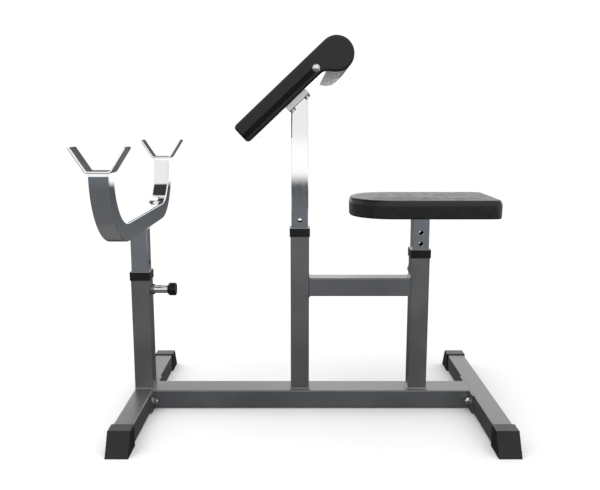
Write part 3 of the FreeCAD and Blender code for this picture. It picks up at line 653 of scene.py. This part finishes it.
end_ease = 0.08
lift_ease = 0.03
drawn_tilt = -0.25
made = bmesh.new()
first = made.verts.new((roll_middle.x, 0.0, pad_top))
point = chain_turn(made, first, roll_middle, 270.0 - throat_pinch, roll_steps)
point = chain_turn(made, point, throat_middle, throat_pinch - 90.0, throat_steps)
for end, steps in ((board_high.x, 1), (board_low.x, under_steps), (pad_end + low_round, 1)):
    point = chain_run(made, point, (end, 0.0, pad_under), steps)
point = chain_turn(made, point, low_middle, 90.0, round_steps)
point = chain_run(made, point, (pad_end, 0.0, pad_top - top_round), end_steps)
point = chain_turn(made, point, top_middle, 90.0, round_steps)
point = chain_run(made, point, first.co.lerp(point.co, 1 / top_steps), top_steps - 1)
made.edges.new((point, first))
bmesh.ops.translate(made, verts=made.verts[:], vec=(0.0, -pad_half, 0.0))
side = bmesh.ops.contextual_create(made, geom=made.edges[:])["faces"]
pulled = bmesh.ops.extrude_face_region(made, geom=side)["geom"]
bmesh.ops.translate(made, verts=points_of(pulled), vec=(0.0, 2 * pad_half, 0.0))
bmesh.ops.recalc_face_normals(made, faces=made.faces[:])
rim = [edge for edge in made.edges if abs(edge.verts[0].co.y - edge.verts[1].co.y) < hair]
bmesh.ops.bevel(made, geom=rim, offset=pad_rim, affect="EDGES", segments=rim_steps, profile=0.5,
                material=-1)
panels = [face for face in made.faces if abs(face.calc_center_median().y) > pad_half - hair]
sliced(made, panels, along_x, marks(pad_end + pad_rim, pad_high.x - pad_rim, pad_mesh))
panels = [face for face in made.faces if abs(face.calc_center_median().y) > pad_half - hair]
sliced(made, panels, along_z, marks(pad_low.z + pad_rim, pad_top - pad_rim, pad_mesh))
rows = [-board_high.y] + marks(-board_high.y, board_high.y, pad_mesh) + [board_high.y]
sliced(made, made.faces[:], along_y, rows)
inner = [point for point in made.verts if point.co.z < pad_under + hair
         and board_low.x + hair < point.co.x < board_high.x - hair
         and abs(point.co.y) < board_high.y - hair]
bmesh.ops.translate(made, verts=inner, vec=(0.0, 0.0, board_clear))


def pad_loose(point):
    """The underside lies flat on its board and the end panels are flat; the top and roll swell."""
    across = smooth_share((pad_half - pad_rim - abs(point.y)) / side_ease)
    along = smooth_share((point.x - pad_low.x) / end_ease)
    lift = 1.0
    if point.x < throat_middle.x + throat_radius:
        lift = smooth_share((point.z - pad_under - low_round) / lift_ease)
    return across * along * lift


pad_cushion = upholstered("arm_pad_cushion", made, pad_crown, pad_frames, pad_loose)
for seam in (pad_rim - pad_half, pad_half - pad_rim):
    sewn(pad_cushion, along_y * seam, along_y, pad_seam_width, pad_seam_depth)
drawn = [face.index for face in pad_cushion.data.polygons
         if face.normal.z < drawn_tilt and face.center.x < throat_middle.x + throat_radius / 2]
pad_cushion.data.transform(pad_slope)
vinyl_piece(pad_cushion, "pad_cushion", "arm_pad")
pad_cushion.data.materials.append(drawn_vinyl)
for number in drawn:
    pad_cushion.data.polygons[number].material_index = 1

# Seat: a square plate welded on its post, a film-faced board bolted to it, and a foam pad with a
# rounded front, covered in the same vinyl: a top panel that comes over a soft shoulder to a seam,
# and a side panel below it. The broad top is full after a few frames and would flutter in more.
dress(zinc_plate, "seat_plate", "seat_bolts", "seat_washers", "seat_tee_nuts")
dress(film_face, "seat_board")
seat_low, seat_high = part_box("seat_cushion")
seat_middle = (seat_low + seat_high) / 2
seat_crown = 0.002
seat_frames = 8
seat_mesh = 0.009
outline_mesh = 0.0117
front_round = 0.105
front_steps = 18
rear_round = 0.026
rear_steps = 8
seat_lean = 0.001
seat_hem = 0.0015
hem = ((0.0025, 0.0), (0.0115, 0.0), (0.003, -seat_hem - board_clear))
hem_row = 0.0025
shoulder = ((0.00325, 0.0091), (0.0017, 0.0026), (0.0031, 0.0013))
seam_drop = 0.013
seam_row = 0.0015
seat_seam_width = 0.0009
seat_seam_depth = 0.0007
seat_top = seat_high.z - seat_crown
seam_height = seat_top - seam_drop
nearly_level = 0.9
nearly_upright = 0.2
top_rim = 0.008
long_ease = 0.07
wide_ease = 0.06
side_swell = 0.4
made = bmesh.new()
bmesh.ops.create_grid(made, x_segments=1, y_segments=1, size=0.5)
bmesh.ops.scale(made, verts=made.verts[:], vec=(*(seat_high - seat_low).xy, 1.0))
bmesh.ops.translate(made, verts=made.verts[:], vec=(seat_middle.x, 0.0, seam_height))
front = [point for point in made.verts if point.co.x < seat_middle.x]
bmesh.ops.bevel(made, geom=front, offset=front_round, affect="VERTICES", segments=front_steps,
                profile=0.5, material=-1)
rear = [point for point in made.verts if point.co.x > seat_high.x - hair]
bmesh.ops.bevel(made, geom=rear, offset=rear_round, affect="VERTICES", segments=rear_steps,
                profile=0.5, material=-1)
for edge in made.edges[:]:
    cuts = math.ceil(edge.calc_length() / outline_mesh) - 1
    if cuts > 0:
        bmesh.ops.subdivide_edges(made, edges=[edge], cuts=cuts)
low_rim = points_of(bmesh.ops.extrude_face_region(made, geom=made.faces[:])["geom"])
bmesh.ops.translate(made, verts=low_rim, vec=(0.0, 0.0, seat_low.z - seat_hem - seam_height))
lean = [1.0 - 2 * seat_lean / size for size in (seat_high - seat_low).xy]
bmesh.ops.scale(made, verts=low_rim, vec=(*lean, 1.0), space=Matrix.Translation(-seat_middle))
bmesh.ops.recalc_face_normals(made, faces=made.faces[:])
top = [face for face in made.faces if face.normal.z > nearly_level]
for draw, rise in shoulder:
    bmesh.ops.inset_region(made, faces=top, use_even_offset=True, thickness=draw, depth=rise)
sliced(made, top, along_x, marks(seat_low.x, seat_high.x, seat_mesh))
top = [face for face in made.faces
       if face.normal.z > nearly_level and face.calc_center_median().z > seat_top - hair]
sliced(made, top, along_y, marks(seat_low.y, seat_high.y, seat_mesh))
under = [face for face in made.faces if face.normal.z < -nearly_level]
for draw, rise in hem:
    bmesh.ops.inset_region(made, faces=under, use_even_offset=True, thickness=draw, depth=rise)
sides = [face for face in made.faces if abs(face.normal.z) < nearly_upright]
rows = marks(seat_low.z, seam_height, seat_mesh) + [seat_low.z + hem_row, seam_height - seam_row]
sliced(made, sides, along_z, sorted(rows))


def seat_loose(point):
    """The underside lies flat on its board; the top swells, and the sides a little."""
    if point.z > seat_top - hair:
        from_ends = min(point.x - seat_low.x, seat_high.x - point.x) - top_rim
        from_sides = seat_high.y - abs(point.y) - top_rim
        return smooth_share(from_ends / long_ease) * smooth_share(from_sides / wide_ease)
    panel = (point.z - seat_low.z) / (seam_height - seat_low.z)
    return side_swell * math.sin(math.pi * panel) if 0.0 < panel < 1.0 else 0.0


seat_cushion = upholstered("seat_cushion_cover", made, seat_crown, seat_frames, seat_loose)
sewn(seat_cushion, along_z * seam_height, along_z, seat_seam_width, seat_seam_depth)
vinyl_piece(seat_cushion, "seat_cushion", "seat")
